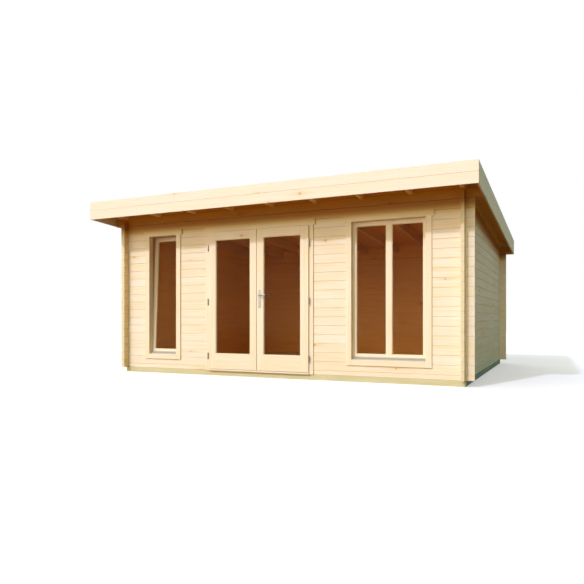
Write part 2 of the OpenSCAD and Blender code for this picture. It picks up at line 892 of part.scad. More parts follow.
module left_leaf_stiles() {
    color(pine_trim) on_leaf(-1) difference() {
        leaf_stiles();
        edge_plate(face_plate_z, face_plate_l);
        for (z = bolt_z) edge_plate(z, bolt_l);
    }
}

module left_leaf_rails() {
    color(pine_trim) on_leaf(-1) leaf_rails();
}

module left_leaf_pane() {
    color(pale_glass) on_leaf(-1) leaf_pane_slot();
}

module right_leaf_stiles() {
    color(pine_trim) difference() {
        on_leaf(1) leaf_stiles();
        on_leaf(1) edge_plate(face_plate_z, face_plate_l);
        translate([lock_x, leaf_front_y - 1, lock_z]) rotate([-90, 0, 0])
            cylinder(r = spindle_r + bore_clearance, h = leaf_t + 2);
        key_cylinder(bore_clearance, leaf_front_y - 1, leaf_back_y + 1);
    }
}

module right_leaf_rails() {
    color(pine_trim) on_leaf(1) leaf_rails();
}

module right_leaf_pane() {
    color(pale_glass) on_leaf(1) leaf_pane_slot();
}

// ---------------------------------------------------------------- hinges and lock

// The lower half of a hinge is on the frame and carries the pin
module frame_hinges() {
    color(zinc) for (side = [-1, 1], z = hinge_z) on_leaf(side) {
        translate([leaf_w + hinge_out, hinge_y, z]) {
            cylinder(r = knuckle_r, h = knuckle_h);
            cylinder(r = hinge_pin_r, h = hinge_h - knuckle_gap - pin_cover);
        }
        box(leaf_w + leaf_gap - strap_t, leaf_w + leaf_gap, hinge_y, leaf_back_y, z, z + knuckle_h);
    }
}

module leaf_hinges() {
    for (z = hinge_z) difference() {
        translate([0, 0, z + hinge_h - knuckle_h]) {
            translate([leaf_w + hinge_out, hinge_y, 0]) cylinder(r = knuckle_r, h = knuckle_h);
            box(leaf_w, leaf_w + strap_t, hinge_y, leaf_back_y, 0, knuckle_h);
        }
        translate([leaf_w + hinge_out, hinge_y, z])
            cylinder(r = hinge_pin_r + pin_clearance, h = hinge_h - pin_cover);
    }
}

module left_leaf_hinges() {
    color(zinc) on_leaf(-1) leaf_hinges();
}

module right_leaf_hinges() {
    color(zinc) on_leaf(1) leaf_hinges();
}

// The key cylinder from y1 to y2: a round barrel over a narrow web
module key_cylinder(clearance, y1, y2) {
    web_r = 5;
    web_drop = 19.5;
    translate([lock_x, y2, lock_z - key_drop]) rotate([90, 0, 0]) linear_extrude(y2 - y1) {
        circle(r = barrel_r + clearance);
        translate([0, -web_drop]) circle(r = web_r + clearance);
        translate([-web_r - clearance, -web_drop]) square([2 * (web_r + clearance), web_drop]);
    }
}

// Long plates with round ends, outside and inside, with the key cylinder through them, and
// the lock's face plate in the meeting edge
module lock_plates() {
    top_z = lock_z + plate_over;
    color(zinc) {
        key_cylinder(0, leaf_front_y - plate_t - barrel_out, leaf_back_y + plate_t + barrel_out);
        on_leaf(1) strike_plate();
    }
    color(zinc) for (y = [leaf_front_y - plate_t, leaf_back_y])
        translate([lock_x, y, 0]) difference() {
            union() {
                box(-plate_w / 2, plate_w / 2, 0, plate_t,
                    top_z - plate_h + plate_w / 2, top_z - plate_w / 2);
                for (z = [top_z - plate_h + plate_w / 2, top_z - plate_w / 2])
                    translate([0, 0, z]) rotate([-90, 0, 0]) cylinder(d = plate_w, h = plate_t);
            }
            translate([0, -1, lock_z]) rotate([-90, 0, 0])
                cylinder(r = spindle_r + plate_clearance, h = plate_t + 2);
            translate([-lock_x, 0, 0]) key_cylinder(plate_clearance, -1, plate_t + 1);
        }
}

// The strike plate and, above and below it, the bolts let into the left leaf's meeting edge
module leaf_bolts() {
    color(zinc) on_leaf(-1) {
        strike_plate();
        for (z = bolt_z) difference() {
            edge_plate(z, bolt_l);
            edge_recess(z + bolt_l / 2, edge_plate_w);
            edge_recess(z + bolt_l / 2 + 2 * edge_plate_w, edge_plate_w);
        }
    }
}

// The outer and inner levers turn together on one spindle
module door_lever() {
    outer_y = leaf_front_y - plate_t - lever_reach;
    inner_y = leaf_back_y + plate_t + lever_reach;
    color(zinc) translate([lock_x, 0, lock_z]) {
        translate([0, outer_y, 0]) rotate([-90, 0, 0]) cylinder(r = spindle_r, h = inner_y - outer_y);
        for (end = [[outer_y, 1], [inner_y, -1]]) translate([0, end[0], 0]) {
            rotate([0, 90, 0]) cylinder(r = lever_r, h = lever_l - lever_r);
            sphere(r = lever_r);
            rotate([-90 * end[1], 0, 0]) cylinder(r = lever_r, h = lever_reach - neck_gap);
            translate([lever_l - lever_r, 0, 0]) {
                sphere(r = lever_r);
                rotate([-90 * end[1], 0, 0]) cylinder(r = lever_r, h = lever_return);
            }
        }
    }
}

long_beams();
side_beams();
floor_joists();
floor_boards();
front_base_left();
front_base_right();
front_corner_left();
front_corner_right();
front_pier_left();
front_pier_right();
front_lintel_log();
front_top_log();
left_wall();
right_wall();
back_wall();
back_top_log();
eaves_blocks();
rafters();
roof_boards();
roof_felt();
front_fascia();
left_fascia();
right_fascia();
back_fascia();
door_jambs();
door_head();
door_threshold();
casing_sides();
casing_heads();
casing_sills();
inner_casing_sides();
inner_casing_rails();
window_jambs();
window_frame_rails();
narrow_sash();
wide_sash();
window_panes();
window_beads();
window_fittings();
drip_rails();
left_leaf_stiles();
left_leaf_rails();
left_leaf_pane();
left_leaf_beads();
right_leaf_stiles();
right_leaf_rails();
right_leaf_pane();
right_leaf_beads();
frame_hinges();
left_leaf_hinges();
right_leaf_hinges();
lock_plates();
door_lever();
leaf_bolts();
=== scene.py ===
import math
import random

import bpy
from mathutils import Matrix, Vector


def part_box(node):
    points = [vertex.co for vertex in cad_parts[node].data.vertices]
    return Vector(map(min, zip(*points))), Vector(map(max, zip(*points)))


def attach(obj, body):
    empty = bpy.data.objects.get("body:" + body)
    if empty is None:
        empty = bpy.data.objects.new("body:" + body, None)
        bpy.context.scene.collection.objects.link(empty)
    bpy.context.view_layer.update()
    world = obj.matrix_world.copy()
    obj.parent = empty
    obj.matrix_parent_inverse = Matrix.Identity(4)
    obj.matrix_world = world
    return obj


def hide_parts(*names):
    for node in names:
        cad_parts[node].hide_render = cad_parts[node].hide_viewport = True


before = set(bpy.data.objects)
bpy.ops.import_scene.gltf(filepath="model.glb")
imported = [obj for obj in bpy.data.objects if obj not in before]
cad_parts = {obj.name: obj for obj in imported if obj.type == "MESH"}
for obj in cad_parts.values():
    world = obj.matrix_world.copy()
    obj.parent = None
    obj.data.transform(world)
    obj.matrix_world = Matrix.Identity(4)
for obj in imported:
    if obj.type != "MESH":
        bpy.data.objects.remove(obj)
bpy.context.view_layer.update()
bpy.ops.object.select_all(action="DESELECT")


# ------------------------------------------------------------------ foundation and joists
# Pressure-treated softwood: two long beams under the front and back walls, one under
# each side wall, and the joists that carry the floor. They are sawn square, and the
# salts have turned them a dull green.

class Shade:
    """A socket in a material's node tree, on which sums are written as plain Python."""

    def __init__(self, tree, socket=None):
        self.tree = tree
        self.socket = socket

    def node(self, kind, settings=None, inputs=None, out=0):
        """Adds a node, sets it up, fills or links its inputs, and gives one output."""
        made = self.tree.nodes.new("ShaderNode" + kind)
        for name, value in (settings or {}).items():
            if name == "stops":
                ramp = made.color_ramp
                while len(ramp.elements) < len(value):
                    ramp.elements.new(0.5)
                for element, (place, colour) in zip(ramp.elements, value):
                    element.position = place
                    element.color = (*colour, 1)
            else:
                setattr(made, name, value)
        for name, value in (inputs or {}).items():
            if isinstance(value, Shade):
                self.tree.links.new(value.socket, made.inputs[name])
            else:
                made.inputs[name].default_value = value
        return Shade(self.tree, made.outputs[out])

    def math(self, operation, *values):
        """One of the Math node's operations on one, two or three values."""
        return self.node("Math", {"operation": operation}, dict(enumerate(values)))

    def __add__(self, other):
        return self.math("ADD", self, other)

    def __sub__(self, other):
        return self.math("SUBTRACT", self, other)

    def __mul__(self, other):
        return self.math("MULTIPLY", self, other)

    def __truediv__(self, other):
        return self.math("DIVIDE", self, other)

    def __rsub__(self, other):
        return self.math("SUBTRACT", other, self)

    def __rtruediv__(self, other):
        return self.math("DIVIDE", other, self)

    def __pow__(self, other):
        return self.math("POWER", self, other)

    def __abs__(self):
        return self.math("ABSOLUTE", self)

    def __lt__(self, other):
        return self.math("LESS_THAN", self, other)

    __radd__ = __add__
    __rmul__ = __mul__

    def ramp(self, low, high, start=0.0, end=1.0):
        """Goes smoothly from start to end while this value goes from low to high."""
        return self.node("MapRange", {"interpolation_type": "SMOOTHSTEP"},
                         {0: self, 1: low, 2: high, 3: start, 4: end})

    def blend(self, first, second, mode="MIX"):
        """Mixes two colours by this value."""
        first, second = [c if isinstance(c, Shade) else (*c, 1) for c in (first, second)]
        return self.node("Mix", {"data_type": "RGBA", "blend_type": mode},
                         {0: self, 6: first, 7: second}, out=2)

    def noise(self, place, scale, detail=3.0, roughness=0.5):
        """Cloudy noise between 0 and 1."""
        inputs = {"Vector": place, "Scale": scale, "Detail": detail, "Roughness": roughness}
        return self.node("TexNoise", None, inputs)

    def parts(self):
        """The three numbers of a vector."""
        return [self.node("SeparateXYZ", None, {0: self}, out=i) for i in range(3)]

    def vector(self, x, y, z):
        """A vector of three numbers."""
        return self.node("CombineXYZ", None, {0: x, 1: y, 2: z})

    def bump(self, height, strength, distance):
        """The surface's normal over small heights."""
        inputs = {"Strength": strength, "Distance": distance, "Height": height}
        return self.node("Bump", None, inputs)


def start_material(name):
    """A new material: its node tree to write sums on, and its Principled shader."""
    made = bpy.data.materials.new(name)
    made.use_nodes = True
    shader = next(n for n in made.node_tree.nodes if n.type == "BSDF_PRINCIPLED")
    return made, Shade(made.node_tree), shader


def feed(shader, **values):
    """Links sums to the shader's inputs, whose names are written with _ for a space."""
    for name, value in values.items():
        value.tree.links.new(value.socket, shader.inputs[name.replace("_", " ")])


def tinted(colour, tint):
    """A colour times another."""
    return tuple(a * b for a, b in zip(colour, tint))


X, Y, Z = 0, 1, 2


def find_knots(root, length, depth, width, shift, share):
    """Knots, of which one may stand in each cell of a loose grid along the board.

    Gives their cores, their dark rims, how they swirl the rings, and the warm glow that
    each leaves along the grain.
    """
    cell_l, cell_w = 0.42, 0.11
    least, spread = 0.004, 0.010
    hair = 0.0005
    grid = root.vector(length / cell_l, width / cell_w + shift * 17.0, 0.0)
    cells = {"Vector": grid, "Scale": 1.0, "Randomness": 0.9}
    knot = root.node("TexVoronoi", {"voronoi_dimensions": "2D"}, cells, out=2)
    chance, chance_size, _ = root.node(
        "TexVoronoi", {"voronoi_dimensions": "2D"}, cells, out=1).parts()
    away_l, away_w, _ = root.node(
        "VectorMath", {"operation": "SUBTRACT"}, {0: grid, 1: knot}).parts()
    present = chance.ramp(share, share - 0.02)
    size = (chance_size * spread + least) * present
    out_l, out_w = away_l * cell_l, away_w * cell_w
    ruffle = root.noise(root.vector(length, depth, width), 60.0, 2.0) * 0.004
    away = ((out_l * 0.75) ** 2 + out_w ** 2) ** 0.5 + ruffle - 0.002
    core = (away / (size + hair / 5)).ramp(1.05, 0.8)
    rim = (away / (size + hair / 5)).ramp(1.5, 1.0) - core
    swirl = 1.0 / (1.0 + (away / (size * 2.2 + hair)) ** 2)
    glow = present / (1.0 + (out_l / 0.10) ** 2) / (1.0 + (out_w / (size * 1.6 + hair)) ** 2)
    return core, rim, swirl, glow


def timber(name, pale, dark, along=None, flat=None, seed=0.0, course=None, start=0.0,
           groove=0.003, knots=0.10, streaks=0.65, room=None, indoor_shade=None, shade_heights=None):
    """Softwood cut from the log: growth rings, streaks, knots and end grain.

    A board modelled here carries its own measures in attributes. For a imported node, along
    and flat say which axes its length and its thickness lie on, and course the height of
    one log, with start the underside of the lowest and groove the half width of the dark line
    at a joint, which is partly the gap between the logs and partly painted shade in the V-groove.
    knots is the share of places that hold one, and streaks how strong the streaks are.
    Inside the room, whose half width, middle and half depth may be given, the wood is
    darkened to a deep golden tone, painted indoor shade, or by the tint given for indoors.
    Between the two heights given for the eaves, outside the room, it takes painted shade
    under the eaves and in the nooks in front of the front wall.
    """
    made, root, shader = start_material(name)
    if along is None:
        length, depth, width = root.node("Attribute", {"attribute_name": "grain"}, out=1).parts()
        board = root.node("Attribute", {"attribute_name": "board"}, out=2)
        end = root.node("Attribute", {"attribute_name": "end"}, out=2)
    else:
        place = root.node("TexCoord", out=3).parts()
        length, depth, width = place[along], place[flat], place[3 - along - flat]
        board = 0.0 * length + seed
        if course:
            storey = (width - start) / course
            count = storey.math("FLOOR", storey)
            board = count + seed
            joint = storey - count
            width = (joint - 0.5) * course
        end = abs(root.node("TexCoord", out=1).parts()[along]).ramp(0.5, 0.8)
    chance = root.node(
        "TexWhiteNoise", {"noise_dimensions": "1D"}, {"W": board * 1.37 + seed}, out=1)
    shift_a, shift_b, tone = chance.parts()
    length = length + shift_a * 31.0
    core, rim, swirl, glow = find_knots(root, length, depth, width, tone, knots)

    # Growth rings round a pith that lies beside the board, bent by slow noise and by knots
    ring_w = 0.0042
    drift = root.noise(root.vector(length * 0.55, depth * 4, width * 4), 1.0, 2.0)
    pith_a = depth + (shift_b - 0.5) * 0.11 + (drift - 0.5) * 0.12
    pith_b = width + (shift_a - 0.5) * 0.16 + (drift - 0.5) * 0.05
    radius = (pith_a * pith_a + pith_b * pith_b) ** 0.5
    rings = (radius + swirl * 0.012) * (math.tau / ring_w)
    late = (rings.math("SINE", rings) * 0.5 + 0.5) ** 3.0
    broad = root.noise(root.vector(length * 0.9, radius * 38.0, board), 1.0, 4.0, 0.55)
    fine = root.noise(root.vector(length * 9.0, depth * 420.0, width * 420.0), 1.0, 2.0)
    stretched = root.vector(length * 1.3, depth * 60.0, width * 95.0 + board)
    streak = root.noise(stretched, 1.0, 2.5, 0.6)

    # Colour, from the broad bands of the wood to its knots
    warm = tinted(dark, (1.0, 0.92, 0.82))
    colour = broad.ramp(0.30, 0.72).blend(dark, pale)
    colour = (late * 0.20).blend(colour, warm)
    colour = (streak.ramp(0.50, 0.66) * streaks).blend(colour, tinted(dark, (1.0, 0.90, 0.66)))
    colour = (fine.ramp(0.35, 0.75) * 0.10).blend(colour, warm)
    colour = (tone * 0.16).blend(colour, warm)
    colour = (glow * 0.75).blend(colour, tinted(dark, (0.95, 0.76, 0.52)))
    colour = (end * (late * 0.35 + 0.28)).blend(colour, tinted(dark, (0.82, 0.66, 0.50)))
    colour = (rim * 0.50).blend(colour, tinted(knot_brown, (0.62, 0.62, 0.62)))
    colour = (core * 0.65).blend(colour, knot_brown)
    # The dark line at each joint: the gap between the logs, widened into painted shade across the
    # V-groove
    if course:
        seam = abs(abs(joint - 0.5) - 0.5) * course
        colour = seam.ramp(groove, 0.0005).blend(colour, tinted(dark, (0.82, 0.69, 0.43)))
    # Painted shade: darker and deeper golden inside the room, and outside it the painted shade
    # under the eaves
    if room:
        half_x, mid_y, half_y = room
        x, y, _ = root.node("TexCoord", out=3).parts()
        inside = (abs(x) < half_x) * (abs(y - mid_y) < half_y)
        colour = inside.blend(colour, indoor_shade or indoor_shade_tint, "MULTIPLY")
        if shade_heights:
            colour = paint_eave_shade(root, colour, 1 - inside, *shade_heights)
    relief = root.bump(late * -0.25 + fine * -0.3 + core * 0.5, 0.35, 0.0006)
    feed(shader, Base_Color=colour, Roughness=broad * -0.14 + late * -0.05 + 0.70, Normal=relief)
    return made


def dress(material, *nodes):
    """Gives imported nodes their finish."""
    for node in nodes:
        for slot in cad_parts[node].material_slots:
            slot.link = "OBJECT"
            slot.material = material


knot_brown = (0.60, 0.32, 0.13)
long_pale, long_dark = (0.79, 0.70, 0.44), (0.64, 0.585, 0.33)
# The side beams take a much darker green than the long ones: painted shade
side_beam_shade_pale, side_beam_shade_dark = (0.235, 0.355, 0.225), (0.165, 0.28, 0.18)
dress(timber("treated_long", long_pale, long_dark, X, Y, seed=3.1), "long_beams", "floor_joists")
dress(timber("treated_side_shaded", side_beam_shade_pale, side_beam_shade_dark, Y, X, seed=5.4), "side_beams")


# ------------------------------------------------------------------ log walls
# Planed spruce logs, 40 mm thick, laid in courses with a groove at every joint. They
# cross at the corners, where each is notched half-way and its end stands out, and so the
# front and back walls start with half a log.

# On the side walls the dark line at each joint is wider, painted shade across the whole V-groove
log_t, half_log, side_groove_shade = 0.040, 0.5, 0.005
# The side walls take a darker copy of the log colour: painted shade
log_pale, log_dark, side_shade_dark = (0.96, 0.865, 0.72), (0.94, 0.785, 0.57), (0.87, 0.77, 0.53)
# Inside the room the logs are darkened to a deep golden tone: painted indoor shade
indoor_shade_tint = (1.0, 0.565, 0.165)
# Painted shade under the eaves: a straw tint, deep amber, lighter amber at the top, and the
# heights at the front wall where it starts and is full
straw_shade_tint, straw_shade_heights = (1.0, 1.0, 0.5), (1.970, 2.110)
deep_eave_shade, top_eave_shade, top_shade_heights = (0.50, 0.25, 0.070), (0.78, 0.50, 0.140), (2.14, 2.30)
# Faces that look right in front of the front wall are darkened and warmed: painted shade in the
# nooks
nook_shade = (0.98, 0.88, 0.66)
eave_shade_heights = (1.995, 2.145)
roof_slope = math.tan(math.radians(2.9))
beam_low, beam_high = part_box("long_beams")
front_y, back_y, half_w, beam_top = beam_low.y, beam_high.y, beam_high.x, beam_high.z
course = (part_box("front_base_left")[1].z - beam_top) / (1 + half_log)

# The room reaches a hair into the logs, so that their inner faces count as indoors and take the
# painted indoor shade
skin = 0.002
room = (half_w - log_t + skin, (front_y + back_y) / 2, (back_y - front_y) / 2 - log_t + skin)


def paint_eave_shade(root, colour, outside, low, high):
    """Painted shade under the roof: a straw tint, amber from low to high, and lighter again at
    the top.

    The heights are those at the front wall, and fall to the back with the roof. What faces
    right in front of that wall is a little darker and warmer: painted shade in the nooks.
    """
    _, y, z = root.node("TexCoord", out=3).parts()
    height = z + (y - front_y) * roof_slope
    # Painted shade: a straw tint low down, then deep amber towards the roof, lighter again at the
    # top
    colour = (height.ramp(*straw_shade_heights) * outside).blend(colour, straw_shade_tint, "MULTIPLY")
    deep_shade = height.ramp(*top_shade_heights).blend(deep_eave_shade, top_eave_shade)
    colour = (height.ramp(low, high) * outside).blend(colour, deep_shade, "MULTIPLY")
    # Painted shade in the nooks: right-facing faces in front of the front wall, darker and warmer
    facing = root.node("TexCoord", out=1).parts()[X]
    return ((y < front_y) * facing.ramp(0.5, 0.8)).blend(colour, nook_shade, "MULTIPLY")


walls_along_x = ["front_base_left", "front_base_right", "front_corner_left", "front_corner_right",
                 "front_pier_left", "front_pier_right", "front_lintel_log", "front_top_log",
                 "back_wall", "back_top_log", "eaves_blocks"]
# Every log takes painted shade: darker inside the room, and under the eaves and in the nooks
# outside it
for i, node in enumerate(walls_along_x):
    dress(timber("log_" + node, log_pale, log_dark, X, Y, seed=2.3 * i + 0.7, course=course,
                 start=beam_top - half_log * course, room=room, shade_heights=eave_shade_heights), node)
# The side walls take the darker copy of the log colour, painted shade
for i, node in enumerate(["left_wall", "right_wall"]):
    dress(timber("log_" + node, log_pale, side_shade_dark, Y, X, seed=4.1 * i + 40.3, course=course,
                 start=beam_top, groove=side_groove_shade, streaks=1.0, room=room,
                 shade_heights=eave_shade_heights), node)


# ------------------------------------------------------------------ floor
# Spruce boards, tongued and grooved, laid from front to back, nailed to the joists and cut
# out for the door frame. Their edges are eased, so that each joint shows as a fine V.

def pick(piece, kind, test):
    """Selects in edit mode the FACE, EDGE or VERT parts of a piece that pass a test.

    The test is given a face's middle and its normal, an edge's two ends, or a point.
    """
    bpy.ops.object.select_all(action="DESELECT")
    bpy.context.view_layer.objects.active = piece
    piece.select_set(True)
    bpy.ops.object.mode_set(mode="EDIT")
    bpy.ops.mesh.select_mode(type=kind)
    bpy.ops.mesh.select_all(action="DESELECT")
    bpy.ops.object.mode_set(mode="OBJECT")
    mesh = piece.data
    if kind == "FACE":
        for face in mesh.polygons:
            face.select = test(face.center, face.normal)
    elif kind == "EDGE":
        for edge in mesh.edges:
            edge.select = test(*[mesh.vertices[i].co for i in edge.vertices])
    else:
        for point in mesh.vertices:
            point.select = test(point.co)
    bpy.ops.object.mode_set(mode="EDIT")


def block(name, low, high):
    """A plain box between two corners, to be worked on."""
    low, high = Vector(low), Vector(high)
    bpy.ops.object.select_all(action="DESELECT")
    bpy.ops.mesh.primitive_cube_add(size=1, location=(low + high) / 2, scale=high - low)
    piece = bpy.context.object
    piece.name = name
    bpy.ops.object.transform_apply(location=True, rotation=True, scale=True)
    return piece


draw = random.Random(7)


def measure(piece, low, high, along):
    """Stores, for timber(), the place of each point in its board and the board's number."""
    size, middle = high - low, (low + high) / 2
    flat, wide = sorted((axis for axis in (X, Y, Z) if axis != along), key=lambda a: size[a])
    mesh = piece.data
    number = draw.random() * 50
    places = [point.co - middle for point in mesh.vertices]
    grain = [place[axis] for place in places for axis in (along, flat, wide)]
    ends = [float(abs(face.normal[along]) > 0.7) for face in mesh.polygons]
    for name, kind, where, values in (("grain", "FLOAT_VECTOR", "POINT", grain),
                                      ("board", "FLOAT", "POINT", [number] * len(places)),
                                      ("end", "FLOAT", "FACE", ends)):
        made = mesh.attributes.new(name, kind, where)
        made.data.foreach_set("vector" if kind == "FLOAT_VECTOR" else "value", values)


def plank(low, high, along, ease, steps):
    """A planed board between two corners, with its long edges eased."""
    low, high = Vector(low), Vector(high)
    piece = block("plank", low, high)
    pick(piece, "EDGE", lambda a, b: abs((b - a)[along]) > 0.5 * (high - low)[along])
    bpy.ops.mesh.bevel(offset=ease, segments=steps, affect="EDGES")
    bpy.ops.object.mode_set(mode="OBJECT")
    measure(piece, low, high, along)
    return piece


def build(name, pieces, material, body, slot, *nodes, smooth=35):
    """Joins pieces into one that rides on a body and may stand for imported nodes.

    Its eased edges are shaded round and its broad faces flat.
    """
    bpy.ops.object.select_all(action="DESELECT")
    for piece in pieces:
        piece.select_set(True)
    whole = pieces[0]
    bpy.context.view_layer.objects.active = whole
    if len(pieces) > 1:
        bpy.ops.object.join()
    whole.name = name
    bpy.ops.object.shade_smooth_by_angle(angle=math.radians(smooth))
    flat = whole.modifiers.new("flat", "WEIGHTED_NORMAL")
    flat.keep_sharp = True
    flat.weight = 100
    bpy.ops.object.modifier_apply(modifier="flat")
    whole.data.materials.clear()
    whole.data.materials.append(material)
    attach(whole, body)
    if nodes:
        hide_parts(*nodes)
    return whole


def cut_away(piece, low, high):
    """Takes a box out of a piece."""
    cutter = block("cutter", low, high)
    tool = piece.modifiers.new("cut", "BOOLEAN")
    tool.operation = "DIFFERENCE"
    tool.solver = "EXACT"
    tool.object = cutter
    bpy.context.view_layer.objects.active = piece
    bpy.ops.object.modifier_apply(modifier="cut")
    bpy.data.objects.remove(cutter)


floor_pine = timber("floor_pine", (0.93, 0.76, 0.50), (0.89, 0.64, 0.35), knots=0.25)
floor_board_w, floor_joint, floor_gap = 0.113, 0.0002, 0.005
overcut = 0.01
low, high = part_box("floor_boards")
jambs_low, jambs_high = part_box("door_jambs")
cut_low = Vector((jambs_low.x - floor_gap, front_y, low.z - overcut))
cut_high = Vector((jambs_high.x + floor_gap, jambs_high.y + floor_gap, high.z + overcut))
board_count = round((high.x - low.x) / floor_board_w)
cover = (high.x - low.x) / board_count
boards = []
for i in range(board_count):
    left = low.x + i * cover
    board = plank((left + floor_joint, low.y, low.z),
                  (left + cover - floor_joint, high.y, high.z), Y, ease=0.0020, steps=1)
    if left + cover > cut_low.x and left < cut_high.x:
        cut_away(board, cut_low, cut_high)
    boards.append(board)
build("floor_planks", boards, floor_pine, "house", "floor_pine", "floor_boards")


# ------------------------------------------------------------------ rafters
# Nine rafters of planed softwood, which run from the front eave to the back one with a
# slight fall. They sit in the top logs, and their ends carry the fascia.

# Inside the room the rafters and roof boards are darkened: painted indoor shade
ceiling_shade_tint = (0.84, 0.63, 0.40)
dress(timber("rafter_pine", (0.97, 0.80, 0.45), (0.95, 0.69, 0.32), Y, X, seed=11.7,
             room=room, indoor_shade=ceiling_shade_tint), "rafters")


# ------------------------------------------------------------------ roof boards
# Tongued and grooved spruce boards, nailed across the rafters from the front eave to the
# back. Their edges are chamfered, so that the joints show from below.

deck_t, deck_board_w, deck_joint, deck_shy = 0.019, 0.094, 0.0003, 0.001
# The roof boards are coloured a deep orange: painted shade for their undersides beneath the eaves
eave_shade_pale, eave_shade_dark = (0.96, 0.63, 0.24), (0.92, 0.51, 0.15)
deck_low, deck_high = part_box("roof_boards")
run_y = deck_high.y - deck_low.y
pitch = math.atan2(deck_high.z - deck_low.z - deck_t, run_y)
run = run_y / math.cos(pitch) - deck_shy


def tip_back(piece, hinge, angle):
    """Turns a finished mesh about a line along X through a point, its top going back."""
    turn = Matrix.Rotation(-angle, 4, "X")
    piece.data.transform(Matrix.Translation(hinge) @ turn @ Matrix.Translation(-hinge))


def lay_on_roof(piece):
    """Moves a piece drawn on the level, from y = 0 at the front eave, onto the rafters."""
    piece.data.transform(Matrix.Translation((0, deck_low.y, deck_high.z - deck_t)))
    tip_back(piece, Vector((0, deck_low.y, deck_high.z - deck_t)), pitch)


# Inside the room the boards take the painted indoor shade
roof_pine = timber("roof_pine", eave_shade_pale, eave_shade_dark, knots=0.25, room=room, indoor_shade=ceiling_shade_tint)
board_count = round(run / deck_board_w)
cover = run / board_count
boards = [plank((deck_low.x, i * cover + deck_joint, 0),
                (deck_high.x, (i + 1) * cover - deck_joint, deck_t), X, ease=0.0030, steps=1)
          for i in range(board_count)]
lay_on_roof(build("roof_planks", boards, roof_pine, "house", "roof_pine", "roof_boards"))


# ------------------------------------------------------------------ roofing felt
# Bitumen felt faced with fine slate grit, rolled out across the fall in strips about a
# metre wide. Each strip laps the next lower one and is held there by a row of clout nails.

felt_t = 0.002
strip_w, lap, fold_w = 1.0, 0.09, 0.015
nail_r, nail_t, nail_sunk, nail_crown = 0.0045, 0.001, 0.0006, 0.0001
nail_step, nail_in = 0.1, 0.05

felt, root, shader = start_material("slate_felt")
place = root.node("TexCoord", out=3)
grit = root.node("TexVoronoi", None, {"Vector": place, "Scale": 420.0}, out=1).parts()[0]
wear = root.noise(place, 2.2, 5.0, 0.6)
colour = grit.ramp(0.2, 0.9).blend((0.030, 0.033, 0.036), (0.135, 0.14, 0.145))
colour = (wear.ramp(0.45, 0.75) * 0.20).blend(colour, (0.15, 0.145, 0.13))
shown_w = strip_w - lap
count = (deck_low.y + run * math.cos(pitch) - place.parts()[Y]) / (shown_w * math.cos(pitch))
roll = count.math("FLOOR", count)
tone = root.node("TexWhiteNoise", {"noise_dimensions": "1D"}, {"W": roll + 0.5}, out=0)
colour = (tone * 0.45).blend(colour, (0.17, 0.175, 0.18))
edge = abs(abs(count - roll - 0.5) - 0.5) * shown_w
colour = edge.ramp(0.012, 0.004).blend(colour, (0.012, 0.012, 0.013))
feed(shader, Base_Color=colour, Roughness=grit * 0.2 + 0.72,
     Normal=root.bump(grit + wear * 0.5, 0.6, 0.0012))

strips, nails = [], []
strip_end = run
while strip_end > lap:
    strip_start = max(strip_end - strip_w, 0.0)
    strip = block("strip", (deck_low.x, strip_start, deck_t),
                  (deck_high.x, strip_end, deck_t + felt_t))
    if strips:
        for fold in (strip_end - lap - fold_w, strip_end - lap):
            pick(strip, "FACE", lambda middle, normal: True)
            bpy.ops.mesh.bisect(plane_co=(0, fold, 0), plane_no=(0, 1, 0))
            bpy.ops.object.mode_set(mode="OBJECT")
        pick(strip, "VERT", lambda point: point.y > strip_end - lap - fold_w / 2)
        bpy.ops.transform.translate(value=(0, 0, felt_t))
        bpy.ops.object.mode_set(mode="OBJECT")
        nails.append(strip_end - lap / 3)
    strips.append(strip)
    strip_end -= shown_w
lay_on_roof(build("felt_strips", strips, felt, "house", "roofing_felt", "roof_felt", smooth=20))

zinc, root, shader = start_material("zinc_plate")
shader.inputs["Metallic"].default_value = 1.0
place = root.node("TexCoord", out=3)
cloud = root.noise(place, 45.0, 4.0, 0.6)
feed(shader, Base_Color=cloud.ramp(0.3, 0.7).blend((0.30, 0.30, 0.29), (0.44, 0.44, 0.42)),
     Roughness=cloud * 0.25 + 0.28, Normal=root.bump(cloud, 0.15, 0.0003))


def copies(piece, moves):
    """Copies of a piece, each with its own mesh, in place of the piece."""
    made = []
    for move in moves:
        copy = bpy.data.objects.new(piece.name, piece.data.copy())
        copy.data.transform(Matrix.Translation(move))
        bpy.context.collection.objects.link(copy)
        made.append(copy)
    bpy.data.objects.remove(piece)
    return made


nail_z = deck_t + 2 * felt_t - nail_sunk
bpy.ops.mesh.primitive_cylinder_add(vertices=10, radius=nail_r, depth=nail_t,
                                    location=(deck_low.x + nail_in, 0, nail_z))
nail = bpy.context.object
bpy.ops.object.transform_apply(location=True, rotation=True, scale=True)
pick(nail, "FACE", lambda middle, normal: normal.z > 0.9)
bpy.ops.mesh.inset(thickness=nail_r * 0.3)
bpy.ops.transform.translate(value=(0, 0, nail_crown))
bpy.ops.object.mode_set(mode="OBJECT")
moves = [(i * nail_step, y, 0) for y in nails
         for i in range(int((deck_high.x - deck_low.x - nail_in) / nail_step))]
lay_on_roof(build("felt_nails", copies(nail, moves), zinc, "house", "hinge_zinc"))


# ------------------------------------------------------------------ fascia
# Two planed boards, one over the other with an open joint, screwed to the ends of the
# rafters at the front and the back and to the edge of the roof boards at the sides.

upper_h, joint_h = 0.121, 0.0014
screw_t, screw_seat, screw_recess, screw_proud = 0.002, 0.0006, 0.0009, 0.0005
edge_in, joint_in, gable_in, gable_steps = 0.03, 0.035, 0.06, 8
rafter_count = 9
